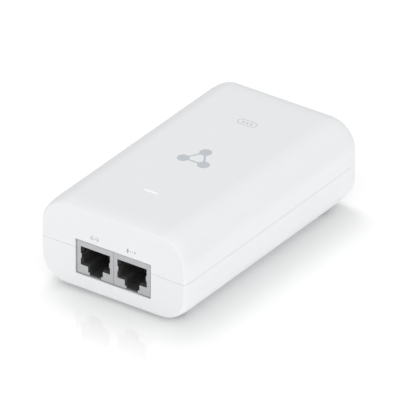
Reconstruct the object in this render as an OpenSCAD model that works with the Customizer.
// Power-over-Ethernet injector: a two-part moulded case with two network sockets at the front,
// a mains inlet at the back, and one circuit board between them.
// Front is -Y, right is +X, and Z = 0 is the surface that the rubber feet stand on.

/* [Case] */
// Width of the case
body_w = 63; // [62:0.5:68]
// Length of the case, front to back
body_l = 106; // [106:0.5:112]
// Height of the case without its feet
body_h = 34.3; // [34:0.1:37]
// Radius of the four long edges
edge_r = 11.1; // [10.5:0.1:11.5]
// Wall thickness
wall = 2.2; // [2:0.1:2.4]
// Height of the joint between the two covers, above the case's underside
joint_h = 17.15; // [16.5:0.05:18]
// How far the ends draw in at their rims
end_draw = 0.85; // [0.4:0.05:1.2]
// Length over which the ends draw in
end_length = 8; // [5:0.5:12]
// Small rounding of the end faces' rims
rim_r = 0.6; // [0.4:0.1:1]

/* [Feet and screws] */
// Diameter of a rubber foot
foot_d = 9; // [7:0.5:10]
// Height that a foot stands proud of the case
foot_proud = 1; // [0.8:0.1:1.6]
// Distance of the feet from the middle, across
foot_x = 14.5; // [12:0.5:15]
// Distance of the feet from the middle, along
foot_y = 40; // [34:0.5:40]
// Shank diameter of the case screws
screw_d = 2.6; // [2.4:0.1:3]
// Distance of the case screws from the middle, across
screw_x = 21.5; // [21.5:0.1:22]
// Distance of the case screws from the middle, along
screw_y = 44; // [43.5:0.1:44.5]

/* [Network sockets] */
// Width of one socket's metal shield
jack_w = 15.9; // [15.6:0.1:16.2]
// Height of the shield above the board
jack_h = 13.1; // [12.8:0.1:13.5]
// Depth of the shield, front to back
jack_l = 16; // [15.5:0.1:16.5]
// Width of the plug's way in through the shield
mouth_w = 12.7; // [12.5:0.1:12.9]
// Height of the plug's way in through the shield
mouth_h = 7.5; // [7.3:0.1:7.7]
// Height of the plug's way in above the board
mouth_z = 3.4; // [3:0.1:3.6]
// How far the shields sit behind the case's front face
jack_recess = 0.4; // [0.2:0.1:0.8]

/* [Mains inlet] */
// Outside width of the inlet's body
inlet_w = 27.2; // [26.8:0.1:27.6]
// Outside height of the inlet's body
inlet_h = 20; // [19.6:0.1:20.4]
// Width of the inlet's well
well_w = 24.4; // [24.2:0.1:24.8]
// Height of the inlet's well
well_h = 16.9; // [16.7:0.1:17.3]
// Depth of the well
well_l = 15.5; // [15:0.1:16]

/* [Hidden] */
$fn = 64;
e = 0.01;

case_z = foot_proud;                // underside of the case
case_top = case_z + body_h;
joint_z = case_z + joint_h;
front_y = -body_l / 2;
back_y = body_l / 2;
floor_z = case_z + wall;
ceiling_z = case_top - wall;
lip_h = 1.5;                        // the top cover's lip inside the bottom cover
lip_gap = 0.1;

board_t = 1.6;
board_z = floor_z + 3.3;            // underside of the board
board_top = board_z + board_t;
board_w = 53;
board_y0 = front_y + wall + 0.6;
board_y1 = back_y - 4;
lead_below = 1.4;                   // length of a lead below the board
lead_r = 0.4;

foot_at = [foot_x, foot_y];
screw_at = [screw_x, screw_y];

jack_y = front_y + jack_recess;     // front of the shields
mouth = [mouth_w, mouth_h];
sheet_t = 0.25;                     // shield metal
jack_gap = 0.15;                    // gap round the sockets in the case's window
contact_pitch = 1.016;
wire = 0.35;                        // side of a contact wire
plug = [11.9, 6.9];                 // the plug's way in through the plastic

inlet = [inlet_w, inlet_h];
well = [well_w, well_h];
inlet_z = board_top + inlet_h / 2;
inlet_l = 18;
blade_gap = 7;                      // line and neutral blades from the middle
earth_up = 4;                       // earth blade above the other two

led_y = front_y + 23.1;             // the status light's place along the top
led_bar = [5.9, 1.2];

seat_z = case_z + 3.4;              // seat of the screw heads
head_d = 5;

// Corner signs, for pieces that repeat at the four corners
CORNERS = [for (x = [-1, 1], y = [-1, 1]) [x, y]];

// Leads of each component, as places on the board
FUSE_AT = [-20.5, 36];
VARISTOR_AT = [-20.5, 29.5];
THERMISTOR_AT = [-23, 21.5];
XCAP_AT = [18.7, 31];
CHOKE_AT = [18.8, 21.5];
BRIDGE_AT = [-17.2, 12];
BULK_AT = [-12, 23.8];
SINK1_AT = [-18.8, -5];
FET_AT = [SINK1_AT[0] - 3.15, SINK1_AT[1]];
TRAFO_AT = [0, 3.5];
YCAP_AT = [20.5, 8];
OPTO_AT = [20.5, 0];
SINK2_AT = [21.5, -16];
DIODE_AT = [SINK2_AT[0] - 3.15, SINK2_AT[1]];
OUTCAP_AT = [[-12.8, -19], [-2, -19]];
COIL_AT = [10, -17];
INLET_TAIL_Y = back_y - inlet_l - 1;
function pair(at, dx, dy) = [[at[0] - dx, at[1] - dy], [at[0] + dx, at[1] + dy]];
function row(at, n, pitch) = [for (i = [0:n - 1]) [at[0], at[1] + (i - (n - 1) / 2) * pitch]];
CHOKE_LEADS = [for (x = [-4, 4], y = [-3.5, 3.5]) [CHOKE_AT[0] + x, CHOKE_AT[1] + y]];
TRAFO_LEADS = [for (s = [-1, 1], i = [-2:2]) [TRAFO_AT[0] + i * 4.5, TRAFO_AT[1] + s * 10.6]];
OPTO_LEADS = [for (x = [-3.8, 3.8], y = [-1.27, 1.27]) [OPTO_AT[0] + x, OPTO_AT[1] + y]];
ROUND_LEADS = concat(
  pair(FUSE_AT, 0, 2.5), pair(VARISTOR_AT, 3.75, 0), pair(THERMISTOR_AT, 0, 2.5),
  pair(XCAP_AT, 6.2, 0), CHOKE_LEADS, row(BRIDGE_AT, 4, 3.8), pair(BULK_AT, 0, 3.75),
  row(FET_AT, 3, 2.54), TRAFO_LEADS, pair(YCAP_AT, 3.75, 0), OPTO_LEADS,
  row(DIODE_AT, 3, 2.54), pair(OUTCAP_AT[0], 0, 2.5), pair(OUTCAP_AT[1], 0, 2.5),
  pair(COIL_AT, 0, 4.6)
);
// Contact tails of one socket, alternating between two rows
function tail_y(i) = jack_l - 2.6 + (i % 2) * 1.6;
function contact_x(i) = (i - 3.5) * contact_pitch;

// ---- shared shapes ----

// How far the case's surface draws in at a distance y from an end face
function rim_in(y) = y < rim_r ? rim_r - sqrt(rim_r * rim_r - (rim_r - y) * (rim_r - y)) : 0;
function draw_in(y) = y < end_length ? end_draw * pow(1 - y / end_length, 2) : 0;
function case_in(y) = rim_in(y) + draw_in(y);
END_STEPS = concat([for (i = [0:3]) rim_r * (1 - cos(30 * i))],
                   [for (i = [1:5]) rim_r + (end_length - rim_r) * i / 5]);
CASE_PROFILE = concat([for (y = END_STEPS) [front_y + y, case_in(y)]],
                      [for (i = [len(END_STEPS) - 1:-1:0]) [back_y - END_STEPS[i], case_in(END_STEPS[i])]]);

// A bar along Y with rounded long edges. profile lists [y, inset] from front to back.
module rounded_bar(w, h, r, profile) {
  n = len(profile);
  back = [for (i = [n - 1:-1:0]) profile[i]];
  rotate([90, 0, 90]) linear_extrude(w - 2 * r, center = true)
    polygon(concat([for (p = profile) [p[0], h / 2 - p[1]]], [for (p = back) [p[0], p[1] - h / 2]]));
  for (s = [0, 1]) mirror([s, 0, 0]) linear_extrude(h - 2 * r, center = true)
    polygon(concat([for (p = profile) [w / 2 - p[1], p[0]]],
                   [[w / 2 - r, profile[n - 1][0]], [w / 2 - r, profile[0][0]]]));
  for (q = [0:3]) translate([(q == 0 || q == 3 ? 1 : -1) * (w / 2 - r), 0, (q < 2 ? -1 : 1) * (h / 2 - r)])
    rotate([-90, 0, 0]) rotate([0, 0, 90 * q]) rotate_extrude(angle = 90)
      polygon(concat([[0, profile[0][0]]], [for (p = profile) [r - p[1], p[0]]], [[0, profile[n - 1][0]]]));
}

// A plain rounded bar inside the case, a distance t in from the case's outside
module inner_bar(t) {
  translate([0, 0, case_z + body_h / 2])
    rounded_bar(body_w - 2 * t, body_h - 2 * t, edge_r - t, [[front_y + t, 0], [back_y - t, 0]]);
}

module case_solid() {
  translate([0, 0, case_z + body_h / 2]) rounded_bar(body_w, body_h, edge_r, CASE_PROFILE);
}

// Space between two heights, wider than the case
module layer(z0, z1) {
  translate([-body_w, -body_l, z0]) cube([2 * body_w, 2 * body_l, z1 - z0]);
}

// A box from its middle in X and Y and its underside
module block(at, size, z = board_top) {
  translate([at[0] - size[0] / 2, at[1] - size[1] / 2, z]) cube(size);
}

// A box with its upright edges and top edges cut at 45 degrees, as moulded parts have
module moulded(at, size, cut = 0.4, z = board_top) {
  w = size[0]; l = size[1]; h = size[2];
  translate([at[0], at[1], z]) intersection() {
    linear_extrude(h) polygon([
      [-w / 2 + cut, -l / 2], [w / 2 - cut, -l / 2], [w / 2, -l / 2 + cut], [w / 2, l / 2 - cut],
      [w / 2 - cut, l / 2], [-w / 2 + cut, l / 2], [-w / 2, l / 2 - cut], [-w / 2, -l / 2 + cut]]);
    rotate([90, 0, 0]) linear_extrude(l + 2, center = true)
      polygon([[-w / 2, 0], [w / 2, 0], [w / 2, h - cut], [w / 2 - cut, h], [-w / 2 + cut, h], [-w / 2, h - cut]]);
  }
}

// Round leads from a height down through the board
module leads(places, up = 0.5) {
  for (p = places) translate([p[0], p[1], board_z - lead_below])
    cylinder(r = lead_r, h = lead_below + board_t + up, $fn = 24);
}

// The outline of the inlet's well: a rectangle with its two top corners cut off
module well_outline(w, h, cut) {
  polygon([[-w / 2, -h / 2], [w / 2, -h / 2], [w / 2, h / 2 - cut], [w / 2 - cut, h / 2],
           [-w / 2 + cut, h / 2], [-w / 2, h / 2 - cut]]);
}

// ---- case ----

module jack_window() {
  translate([-jack_w - jack_gap, front_y - 1, board_top - jack_gap])
    cube([2 * (jack_w + jack_gap), wall + 2, jack_h + 2 * jack_gap]);
}

module inlet_window() {
  translate([-inlet[0] / 2 - 0.1, back_y - wall - 1, inlet_z - inlet[1] / 2 - 0.1])
    cube([inlet[0] + 0.2, wall + 2, inlet[1] + 0.2]);
}

module at_corners(at) {
  for (c = CORNERS) translate([c[0] * at[0], c[1] * at[1], 0]) children();
}

module top_cover() color([0.93, 0.94, 0.94]) difference() {
  union() {
    difference() {
      intersection() { case_solid(); layer(joint_z, case_top + 1); }
      inner_bar(wall);
    }
    difference() {
      intersection() { inner_bar(wall / 2 + lip_gap); layer(joint_z - lip_h, joint_z); }
      inner_bar(wall);
    }
    at_corners(screw_at) translate([0, 0, board_top]) cylinder(d = 6, h = ceiling_z + 0.4 - board_top);
    // pads that press the inlet down onto the board
    for (s = [-1, 1]) translate([s * 9 - 1, back_y - inlet_l + 1, inlet_z + inlet[1] / 2 + 0.05])
      cube([2, 12, ceiling_z + 0.4 - inlet_z - inlet[1] / 2]);
  }
  jack_window();
  inlet_window();
  at_corners(screw_at) translate([0, 0, board_top - 1]) cylinder(d = screw_d + 0.04, h = 12);
  translate([-led_bar[0] / 2 - 0.05, led_y - led_bar[1] / 2 - 0.05, ceiling_z - 1])
    cube([led_bar[0] + 0.1, led_bar[1] + 0.1, wall + 2]);
}

module bottom_cover() color([0.92, 0.93, 0.94]) difference() {
  union() {
    difference() {
      intersection() { case_solid(); layer(0, joint_z); }
      inner_bar(wall);
    }
    at_corners(screw_at) translate([0, 0, floor_z - 0.4]) cylinder(d = 8, h = board_z - floor_z + 0.4);
    // ribs under the middle of the board
    for (s = [-1, 1]) translate([s * 19 - 0.75, -9, floor_z - 0.2]) cube([1.5, 18, board_z - floor_z + 0.2]);
  }
  difference() {
    intersection() { inner_bar(wall / 2); layer(joint_z - lip_h - 0.1, joint_z + 1); }
    inner_bar(wall + 0.01);
  }
  jack_window();
  inlet_window();
  at_corners(screw_at) {
    cylinder(d = screw_d + 0.3, h = board_z + 1);
    cylinder(d = head_d + 0.5, h = seat_z);
  }
  at_corners(foot_at) cylinder(d = foot_d + 0.2, h = case_z + 1);
  translate([-20, -27, 0]) cube([40, 54, case_z + 0.3]);
}

module light_pipe() color([0.97, 0.98, 0.99]) {
  translate([-led_bar[0] / 2, led_y - led_bar[1] / 2, ceiling_z - 1])
    cube([led_bar[0], led_bar[1], wall + 1]);
  translate([-led_bar[0] / 2 - 1, led_y - 1.5, ceiling_z - 1]) cube([led_bar[0] + 2, 3, 0.9]);
  translate([-1.5, led_y - led_bar[1] / 2, board_top + 1]) cube([3, led_bar[1], ceiling_z - board_top - 1.5]);
}

module rubber_feet() color([0.75, 0.76, 0.77]) at_corners(foot_at)
  rotate_extrude() polygon([[0, 0], [foot_d / 2 - 0.3, 0], [foot_d / 2, 0.3], [foot_d / 2, case_z + 1], [0, case_z + 1]]);

module case_screws() color([0.6, 0.6, 0.62]) at_corners(screw_at) difference() {
  union() {
    translate([0, 0, seat_z - 1.7]) cylinder(d = head_d, h = 1.7);
    translate([0, 0, seat_z - e]) cylinder(d = screw_d, h = 12);
  }
  translate([0, 0, seat_z - 2.7]) cylinder(d = 2.2, h = 2, $fn = 6);
}

module rating_label() color([0.85, 0.86, 0.87]) translate([-19.8, -26.8, case_z + 0.15]) cube([39.6, 53.6, 0.15]);

module insulation_sheet() color([0.85, 0.87, 0.8, 0.6]) difference() {
  translate([-16, -46, floor_z]) cube([32, 92, 0.3]);
  for (s = [-1, 1]) translate([s * 16, s * 46, floor_z - 1]) rotate([0, 0, 45]) cube([4, 4, 3], center = true);
}

// ---- board ----

module circuit_board() color([0.1, 0.35, 0.2]) difference() {
  translate([-board_w / 2, board_y0, board_z]) cube([board_w, board_y1 - board_y0, board_t]);
  at_corners(screw_at) translate([0, 0, board_z - 1]) cylinder(d = screw_d + 0.4, h = board_t + 2);
  for (p = ROUND_LEADS) translate([p[0], p[1], board_z - 1]) cylinder(r = lead_r + 0.1, h = board_t + 2, $fn = 24);
  for (s = [-1, 1]) translate([s * jack_w / 2, jack_y, board_z - 1]) {
    for (i = [0:7]) translate([contact_x(i), tail_y(i), 0]) cylinder(r = 0.4, h = board_t + 2, $fn = 24);
    for (t = [-1, 1]) translate([t * (jack_w / 2 - 0.2) - 0.4, 8.5, 0]) cube([0.8, 2.4, board_t + 2]);
  }
  for (x = [-blade_gap, 0, blade_gap]) translate([x - 1.1, INLET_TAIL_Y - 0.1, board_z - 1])
    cube([2.2, 1, board_t + 2]);
  // isolation slot under the transformer, between the mains side and the output side
  translate([14.5, -4.6, board_z - 1]) cube([10, 1.2, board_t + 2]);
}

module status_led() color([0.95, 0.95, 0.85]) {
  block([0, led_y], [1.6, 0.8, 0.5]);
  block([0, led_y], [3, 1.4, 0.2]);
  translate([0, led_y, board_top + 0.5 - e]) cylinder(d = 0.7, h = 0.15, $fn = 24);
}

module pwm_controller() color([0.12, 0.12, 0.13]) small_chip([-22, -20], [3.9, 4.9, 1.5], 4, 1.0);
module poe_controller() color([0.12, 0.12, 0.13]) small_chip([21.5, -31], [5.3, 8, 1.6], 8, 0.8);

// A flat chip with gull-wing leads along its two long sides
module small_chip(at, size, n, pitch) {
  moulded(at, size, 0.25, board_top + 0.1);
  for (s = [-1, 1], i = [0:n - 1])
    block([at[0] + s * (size[0] / 2 + 0.45), at[1] + (i - (n - 1) / 2) * pitch], [0.95, 0.35, 0.15], board_top);
  for (s = [-1, 1], i = [0:n - 1])
    block([at[0] + s * (size[0] / 2 + 0.05), at[1] + (i - (n - 1) / 2) * pitch], [0.25, 0.35, 0.8], board_top);
}

module sense_resistors() color([0.15, 0.15, 0.16])
  for (i = [0:3]) moulded([-22.5, -34 + i * 2.4], [6.3, 1.6, 0.6], 0.1);

// ---- network sockets ----
// Each is drawn about its own middle, with its front at Y = 0 and the board at Z = 0.

module at_jack(side) {
  translate([side * jack_w / 2, jack_y, board_top]) children();
}

module mouth_cut(w, h, slots, y0, y1) {
  translate([-w / 2, y0, mouth_z + (mouth[1] - h) / 2]) cube([w, y1 - y0, h]);
  for (s = slots) translate([-s[0] / 2, y0, s[1]]) cube([s[0], y1 - y0, mouth_z + 1 - s[1]]);
}

module jack_shield() {
  o = 0.05;                         // half of the gap between the two shields
  difference() {
    translate([-jack_w / 2 + o, 0, 0]) cube([jack_w - 2 * o, jack_l, jack_h]);
    translate([-jack_w / 2 + o + sheet_t, sheet_t, -1])
      cube([jack_w - 2 * (o + sheet_t), jack_l - 2 * sheet_t, jack_h + 1 - sheet_t]);
    mouth_cut(mouth[0], mouth[1], [[6.4, 1.15], [4.9, -0.1]], -1, 1);
    // relief slots that free the grounding fingers on each side
    for (s = [-1, 1], z = [5.6, 8.1]) translate([s * jack_w / 2 - 1, 1.2, z]) cube([2, 6, 0.4]);
    translate([-jack_w / 2 - 1, jack_l - 6, -1]) cube([jack_w + 2, 7, 1.6]);
  }
  // grounding fingers folded in beside the plug
  for (s = [-1, 1]) translate([s * (mouth[0] / 2 - 0.22) - 0.15, 0, 6.05]) cube([0.3, 5.5, 2]);
  for (s = [-1, 1]) translate([s > 0 ? mouth[0] / 2 - 0.37 : -mouth[0] / 2 - 0.15, 0, 6.05])
    cube([0.52, sheet_t, 2]);
  // board tabs
  for (s = [-1, 1]) translate([s > 0 ? jack_w / 2 - o - sheet_t : -jack_w / 2 + o, 8.7, -board_t - 1.2])
    cube([sheet_t, 2, board_t + 1.3]);
}

module jack_housing() {
  depth = 12.4;
  w = jack_w - 1.0;
  top = jack_h - sheet_t - 0.3;
  cut_z = mouth_z + (mouth[1] - plug[1]) / 2;
  difference() {
    translate([-w / 2, sheet_t + 0.05, 0]) cube([w, depth - sheet_t - 0.05, top]);
    mouth_cut(plug[0], plug[1], [[6, 1.2], [4.6, 0.5]], -1, 11.6);
    // lead-in round the mouth, in two steps
    mouth_cut(mouth[0] - 0.1, mouth[1] - 0.1, [[6.3, 1.1]], -1, 0.7);
    mouth_cut(mouth[0] - 0.45, mouth[1] - 0.35, [[6.1, 1.15]], -1, 1.1);
    // room beside the plug for the shield's grounding fingers
    for (s = [-1, 1]) translate([s * (mouth[0] / 2 - 0.2) - 0.35, -1, 5.75]) cube([0.7, 7, 2.6]);
    // slots for the contact wires: down the front, under the roof and over it
    for (i = [0:7]) translate([contact_x(i) - 0.3, 0, 0]) {
      translate([0, 1.3, cut_z + plug[1] - 0.5]) cube([0.6, 1.0, top]);
      translate([0, 1.3, cut_z + plug[1] - 0.5]) cube([0.6, 10.3, 1.35]);
      translate([0, 1.3, top - 0.45]) cube([0.6, depth, 1]);
    }
  }
}

// The fixed length of each contact wire: from its tail below the board, up behind the housing,
// forward over the roof and down to the fold
module contact_leads() {
  top = jack_h - sheet_t - 0.3;
  fold_z = fold_place()[1] + wire / 2 + 0.05;
  for (i = [0:7]) translate([contact_x(i) - wire / 2, 0, 0]) {
    translate([0, tail_y(i) - wire / 2, -board_t - 1.2]) cube([wire, wire, board_t + 1.2 + top - 0.05]);
    translate([0, 1.5, top - 0.4]) cube([wire, tail_y(i) + wire / 2 - 1.5, wire]);
    translate([0, 1.5, fold_z]) cube([wire, wire, top - 0.05 - fold_z]);
  }
}

function fold_place() = [1.5 + wire / 2, mouth_z + (mouth[1] + plug[1]) / 2 + 0.35];
spring_l = 7.6;
spring_angle = 20;

// The free arm of each contact wire, which hangs down into the plug's way in from the fold
module contact_springs() {
  f = fold_place();
  for (i = [0:7]) translate([contact_x(i) - wire / 2, f[0], f[1]]) {
    rotate([0, 90, 0]) cylinder(d = wire, h = wire, $fn = 24);
    rotate([-spring_angle, 0, 0]) translate([0, 0, -wire / 2]) cube([wire, spring_l, wire]);
    rotate([-spring_angle, 0, 0]) translate([0, spring_l, 0]) rotate([0, 90, 0]) cylinder(d = wire, h = wire, $fn = 24);
  }
}

module data_jack_shield() color([0.77, 0.78, 0.77]) at_jack(-1) jack_shield();
module data_jack_housing() color([0.09, 0.09, 0.1]) at_jack(-1) jack_housing();
module data_contact_leads() color([0.85, 0.7, 0.35]) at_jack(-1) contact_leads();
module data_contact_springs() color([0.85, 0.7, 0.35]) at_jack(-1) contact_springs();
module poe_jack_shield() color([0.77, 0.78, 0.77]) at_jack(1) jack_shield();
module poe_jack_housing() color([0.09, 0.09, 0.1]) at_jack(1) jack_housing();
module poe_contact_leads() color([0.85, 0.7, 0.35]) at_jack(1) contact_leads();
module poe_contact_springs() color([0.85, 0.7, 0.35]) at_jack(1) contact_springs();

// The two isolating transformers for the network pairs, behind the sockets
module magnetics(at) {
  size = [12.4, 9, 6];
  moulded(at, size, 0.5, board_top + 0.3);
  for (s = [-1, 1], i = [-3:3]) {
    block([at[0] + i * 1.5, at[1] + s * (size[1] / 2 + 0.5)], [0.5, 1.1, 0.2], board_top);
    block([at[0] + i * 1.5, at[1] + s * (size[1] / 2 + 0.1)], [0.5, 0.3, 1.5], board_top);
  }
}
module data_magnetics() color([0.1, 0.1, 0.11]) magnetics([-11, -30.2]);
module poe_magnetics() color([0.1, 0.1, 0.11]) magnetics([11, -30.2]);

// ---- mains inlet ----

module inlet_housing() color([0.1, 0.1, 0.11]) difference() {
  union() {
    translate([-inlet[0] / 2, back_y - inlet_l, inlet_z - inlet[1] / 2]) cube([inlet[0], inlet_l, inlet[1]]);
    // shoulder that bears on the inside of the back wall
    translate([-inlet[0] / 2 - 1.6, back_y - wall - 1.7, board_top]) cube([inlet[0] + 3.2, 1.6, inlet[1] + 1.6]);
  }
  translate([0, back_y + 1, inlet_z]) rotate([90, 0, 0]) linear_extrude(well_l + 1) well_outline(well[0], well[1], 5);
  for (x = [-blade_gap, blade_gap]) blade_slot(x, inlet_z - earth_up / 2);
  blade_slot(0, inlet_z + earth_up / 2);
}

module blade_slot(x, z) {
  translate([x - 1.05, back_y - inlet_l - 1, z - 2.05]) cube([2.1, inlet_l - well_l + 2, 4.1]);
}

// A contact blade: a rounded tongue in the well, and a tail that turns down into the board
module blade(x, z, tongue) {
  root = back_y - inlet_l;
  translate([x - 1, root, z - 2]) cube([2, inlet_l - well_l + tongue, 4]);
  translate([x - 1, root - 0.9, board_z - lead_below]) cube([2, 0.8, z + 2 - board_z + lead_below]);
  translate([x - 1, root - 0.2, z - 2]) cube([2, 0.3, 4]);
}
module line_blade() color([0.8, 0.8, 0.82]) blade(blade_gap, inlet_z - earth_up / 2, 13);
module neutral_blade() color([0.8, 0.8, 0.82]) blade(-blade_gap, inlet_z - earth_up / 2, 13);
module earth_blade() color([0.8, 0.8, 0.82]) blade(0, inlet_z + earth_up / 2, 14.5);

// ---- mains side of the board ----

module fuse() color([0.15, 0.15, 0.16]) {
  moulded(FUSE_AT, [4, 8.4, 7.6], 0.5);
  leads(pair(FUSE_AT, 0, 2.5));
}

// A coated disc that stands on edge on two leads
module disc(at, d, t, leads_dx, leads_dy) {
  turn = leads_dx > 0 ? 0 : 90;
  translate([at[0], at[1], board_top + 1.2 + d / 2]) rotate([0, 0, turn]) rotate([90, 0, 0]) {
    cylinder(d = d, h = t - 1, center = true);
    cylinder(d = d - 1, h = t, center = true);
  }
  leads(pair(at, leads_dx, leads_dy), 1.4 + d * 0.2);
}
module surge_varistor() color([0.1, 0.3, 0.6]) disc(VARISTOR_AT, 11, 3.6, 3.75, 0);
module inrush_thermistor() color([0.15, 0.35, 0.2]) disc(THERMISTOR_AT, 9, 3.6, 0, 2.5);
module y_capacitor() color([0.15, 0.4, 0.75]) disc(YCAP_AT, 9, 4, 3.75, 0);

module x_capacitor() color([0.85, 0.7, 0.15]) {
  moulded(XCAP_AT, [14.6, 7, 13], 0.4);
  leads(pair(XCAP_AT, 6.2, 0));
}

choke_z = board_top + 2 + 8.6;
module choke_core() color([0.25, 0.27, 0.25]) translate([CHOKE_AT[0], CHOKE_AT[1], choke_z])
  rotate([90, 0, 0]) rotate_extrude() translate([4.4, -2.6]) square([2.8, 5.2]);

// One square turn of wire round a ring of the given section
module turn(r0, r1, h, w) {
  difference() {
    translate([r0 - w, -w / 2, -h / 2 - w]) cube([r1 - r0 + 2 * w, w, h + 2 * w]);
    translate([r0 - 0.05, -w, -h / 2 - 0.05]) cube([r1 - r0 + 0.1, 2 * w, h + 0.1]);
  }
}
module choke_windings() color([0.75, 0.4, 0.2]) {
  for (s = [0, 1], i = [-4:4]) translate([CHOKE_AT[0], CHOKE_AT[1], choke_z]) rotate([90, 0, 0])
    rotate([0, 0, 180 * s + i * 15.5]) turn(4.4, 7.2, 5.2, 0.9);
}
module choke_base() color([0.12, 0.12, 0.13]) {
  moulded(CHOKE_AT, [12.5, 10, 1.5], 0.3);
  // cradle arms beside the ring
  for (s = [-1, 1]) block([CHOKE_AT[0], CHOKE_AT[1] + s * 4.3], [5, 1, 7], board_top + 1);
  leads(CHOKE_LEADS);
}

module bridge_rectifier() color([0.13, 0.13, 0.14]) {
  moulded(BRIDGE_AT, [3.6, 15.4, 11], 0.5, board_top + 2.5);
  leads(row(BRIDGE_AT, 4, 3.8), 3);
}

// A can capacitor standing on the board, with its crimp groove and rubber end
module can(d, h) {
  rotate_extrude() polygon([
    [0, 0], [d / 2 - 0.8, 0], [d / 2 - 0.2, 0.3], [d / 2, 0.8], [d / 2, 2.2], [d / 2 - 0.5, 2.7], [d / 2 - 0.5, 3.1],
    [d / 2, 3.6], [d / 2, h - 0.5], [d / 2 - 0.5, h], [d / 2 - 1.2, h], [d / 2 - 1.3, h - 0.2], [0, h - 0.2]]);
}
module bulk_capacitor() color([0.12, 0.13, 0.2]) {
  bulk_d = 15.6;
  bulk_l = 20;
  translate([BULK_AT[0] + 1.2, BULK_AT[1], board_top + bulk_d / 2 + 0.1]) rotate([0, 90, 0]) can(bulk_d, bulk_l);
  for (p = pair(BULK_AT, 0, 3.75)) {
    translate([p[0], p[1], board_z - lead_below]) cylinder(r = lead_r, h = lead_below + board_t + bulk_d / 2 + 0.1, $fn = 24);
    translate([p[0], p[1], board_top + bulk_d / 2 + 0.1]) sphere(r = lead_r, $fn = 24);
    translate([p[0], p[1], board_top + bulk_d / 2 + 0.1]) rotate([0, 90, 0]) cylinder(r = lead_r, h = 1.4, $fn = 24);
  }
}

// ---- switching stage ----

sink_t = 1.5;
sink_h = 19;
sink_l = 17;

// An upright aluminium plate with a folded foot, cooling slots and a tapped hole
module heatsink(at) {
  difference() {
    union() {
      block(at, [sink_t, sink_l, sink_h]);
      block([at[0] + 1.9, at[1]], [4, sink_l, sink_t], board_top + sink_h - sink_t);
    }
    translate([at[0] - 2, at[1], board_top + 14.5]) rotate([0, 90, 0]) cylinder(r = 1.5, h = 4);
    for (s = [-1, 1], z = [4, 10]) translate([at[0] - 2, at[1] + s * 7 - 0.6, board_top + z]) cube([4, 1.2, 4]);
  }
}

// A transistor-outline package standing against its heatsink
module power_package(at) {
  moulded(at, [4.2 - 1.3, 10, 9], 0.4, board_top + 3);
  difference() {
    block([at[0] + 1.6, at[1]], [1.3, 10, 15], board_top + 3);
    translate([at[0] - 4, at[1], board_top + 14.5]) rotate([0, 90, 0]) cylinder(r = 1.8, h = 8);
  }
  leads(row(at, 3, 2.54), 3.4);
}

module sink_screw(sink_at) {
  translate([sink_at[0] - 2.4, sink_at[1], board_top + 14.5]) rotate([0, 90, 0]) difference() {
    union() {
      translate([0, 0, -2.2]) cylinder(d = 5, h = 1.9);
      translate([0, 0, -0.4]) cylinder(d = 2.9, h = 4.4);
    }
    translate([0, 0, -3.2]) cylinder(d = 2.2, h = 2.2, $fn = 6);
  }
}

module primary_heatsink() color([0.75, 0.76, 0.78]) heatsink(SINK1_AT);
module switching_transistor() color([0.13, 0.13, 0.14]) power_package(FET_AT);
module primary_heatsink_screw() color([0.6, 0.6, 0.62]) sink_screw(SINK1_AT);
module secondary_heatsink() color([0.75, 0.76, 0.78]) heatsink(SINK2_AT);
module output_rectifier() color([0.13, 0.13, 0.14]) power_package(DIODE_AT);
module secondary_heatsink_screw() color([0.6, 0.6, 0.62]) sink_screw(SINK2_AT);

trafo_z = board_top + 2.2;          // underside of the transformer's core
core_h = 20;
module transformer_core() color([0.2, 0.2, 0.22]) translate([TRAFO_AT[0], TRAFO_AT[1], trafo_z]) {
  difference() {
    translate([-13.2, -9.3, 0]) cube([26.4, 18.6, core_h]);
    translate([0, 0, 4]) difference() {
      cylinder(r = 11, h = core_h - 8);
      translate([0, 0, -1]) cylinder(r = 6, h = core_h);
    }
    // openings at the front and back, through which the winding shows
    for (s = [-1, 1]) translate([-8.5, s * 10 - 3.5, 4]) cube([17, 7, core_h - 8]);
  }
}
module transformer_bobbin() color([0.12, 0.12, 0.13]) {
  moulded(TRAFO_AT, [25, 24, 2], 0.4);
  leads(TRAFO_LEADS);
  for (s = [-1, 1]) block([TRAFO_AT[0], TRAFO_AT[1] + s * 10.6], [17, 2, 5.2], board_top + 1.5);
  translate([TRAFO_AT[0], TRAFO_AT[1], trafo_z + 4]) difference() {
    union() {
      translate([0, 0, 0.1]) cylinder(r = 10.8, h = 0.9);
      translate([0, 0, core_h - 9]) cylinder(r = 10.8, h = 0.9);
      translate([0, 0, 0.1]) cylinder(r = 6.8, h = core_h - 8.2);
      for (s = [-1, 1]) translate([-8.2, s * 10 - 1.6, 0.1]) cube([16.4, 3.2, 0.9]);
    }
    translate([0, 0, -1]) cylinder(r = 6.1, h = core_h);
  }
}
module transformer_winding() color([0.75, 0.42, 0.2]) translate([TRAFO_AT[0], TRAFO_AT[1], trafo_z + 5.1])
  difference() {
    cylinder(r = 10.1, h = core_h - 10.2);
    translate([0, 0, -1]) cylinder(r = 6.9, h = core_h);
  }
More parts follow.
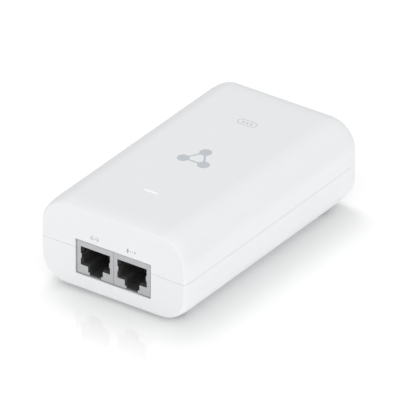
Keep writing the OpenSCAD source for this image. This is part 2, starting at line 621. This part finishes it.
module transformer_tape() color([0.9, 0.75, 0.15]) translate([TRAFO_AT[0], TRAFO_AT[1], trafo_z + 5.2])
  difference() {
    cylinder(r = 10.4, h = core_h - 10.4);
    translate([0, 0, -1]) cylinder(r = 10.15, h = core_h);
  }

// ---- output side ----

module optocoupler() color([0.13, 0.13, 0.14]) {
  moulded(OPTO_AT, [6.4, 4.6, 3.4], 0.4, board_top + 0.5);
  leads(OPTO_LEADS, 2);
  for (p = OPTO_LEADS) block([OPTO_AT[0] + sign(p[0] - OPTO_AT[0]) * 3.5, p[1]], [1.2, 1, 0.4], board_top + 1.8);
}

module output_capacitors() color([0.12, 0.13, 0.2]) for (p = OUTCAP_AT) {
  translate([p[0], p[1], board_top]) can(10, 18);
  leads(pair(p, 0, 2.5));
}

coil_z = board_top + 1.3 + 3.2;
module output_inductor_core() color([0.25, 0.3, 0.25]) translate([COIL_AT[0], COIL_AT[1], coil_z])
  rotate_extrude() translate([3, -2.5]) square([2.8, 5]);
module output_inductor_winding() color([0.75, 0.4, 0.2]) {
  translate([COIL_AT[0], COIL_AT[1], coil_z]) for (i = [0:15]) rotate([0, 0, i * 22.5]) turn(3, 5.8, 5, 0.7);
  leads(pair(COIL_AT, 0, 4.6), 1.5);
}

top_cover();
bottom_cover();
light_pipe();
rubber_feet();
case_screws();
rating_label();
insulation_sheet();
circuit_board();
status_led();
data_jack_shield();
data_jack_housing();
data_contact_leads();
data_contact_springs();
poe_jack_shield();
poe_jack_housing();
poe_contact_leads();
poe_contact_springs();
inlet_housing();
line_blade();
neutral_blade();
earth_blade();
fuse();
surge_varistor();
inrush_thermistor();
x_capacitor();
choke_core();
choke_windings();
choke_base();
bridge_rectifier();
bulk_capacitor();
primary_heatsink();
switching_transistor();
primary_heatsink_screw();
pwm_controller();
transformer_core();
transformer_bobbin();
transformer_winding();
transformer_tape();
y_capacitor();
optocoupler();
secondary_heatsink();
output_rectifier();
secondary_heatsink_screw();
output_capacitors();
output_inductor_core();
output_inductor_winding();
poe_controller();
sense_resistors();
data_magnetics();
poe_magnetics();
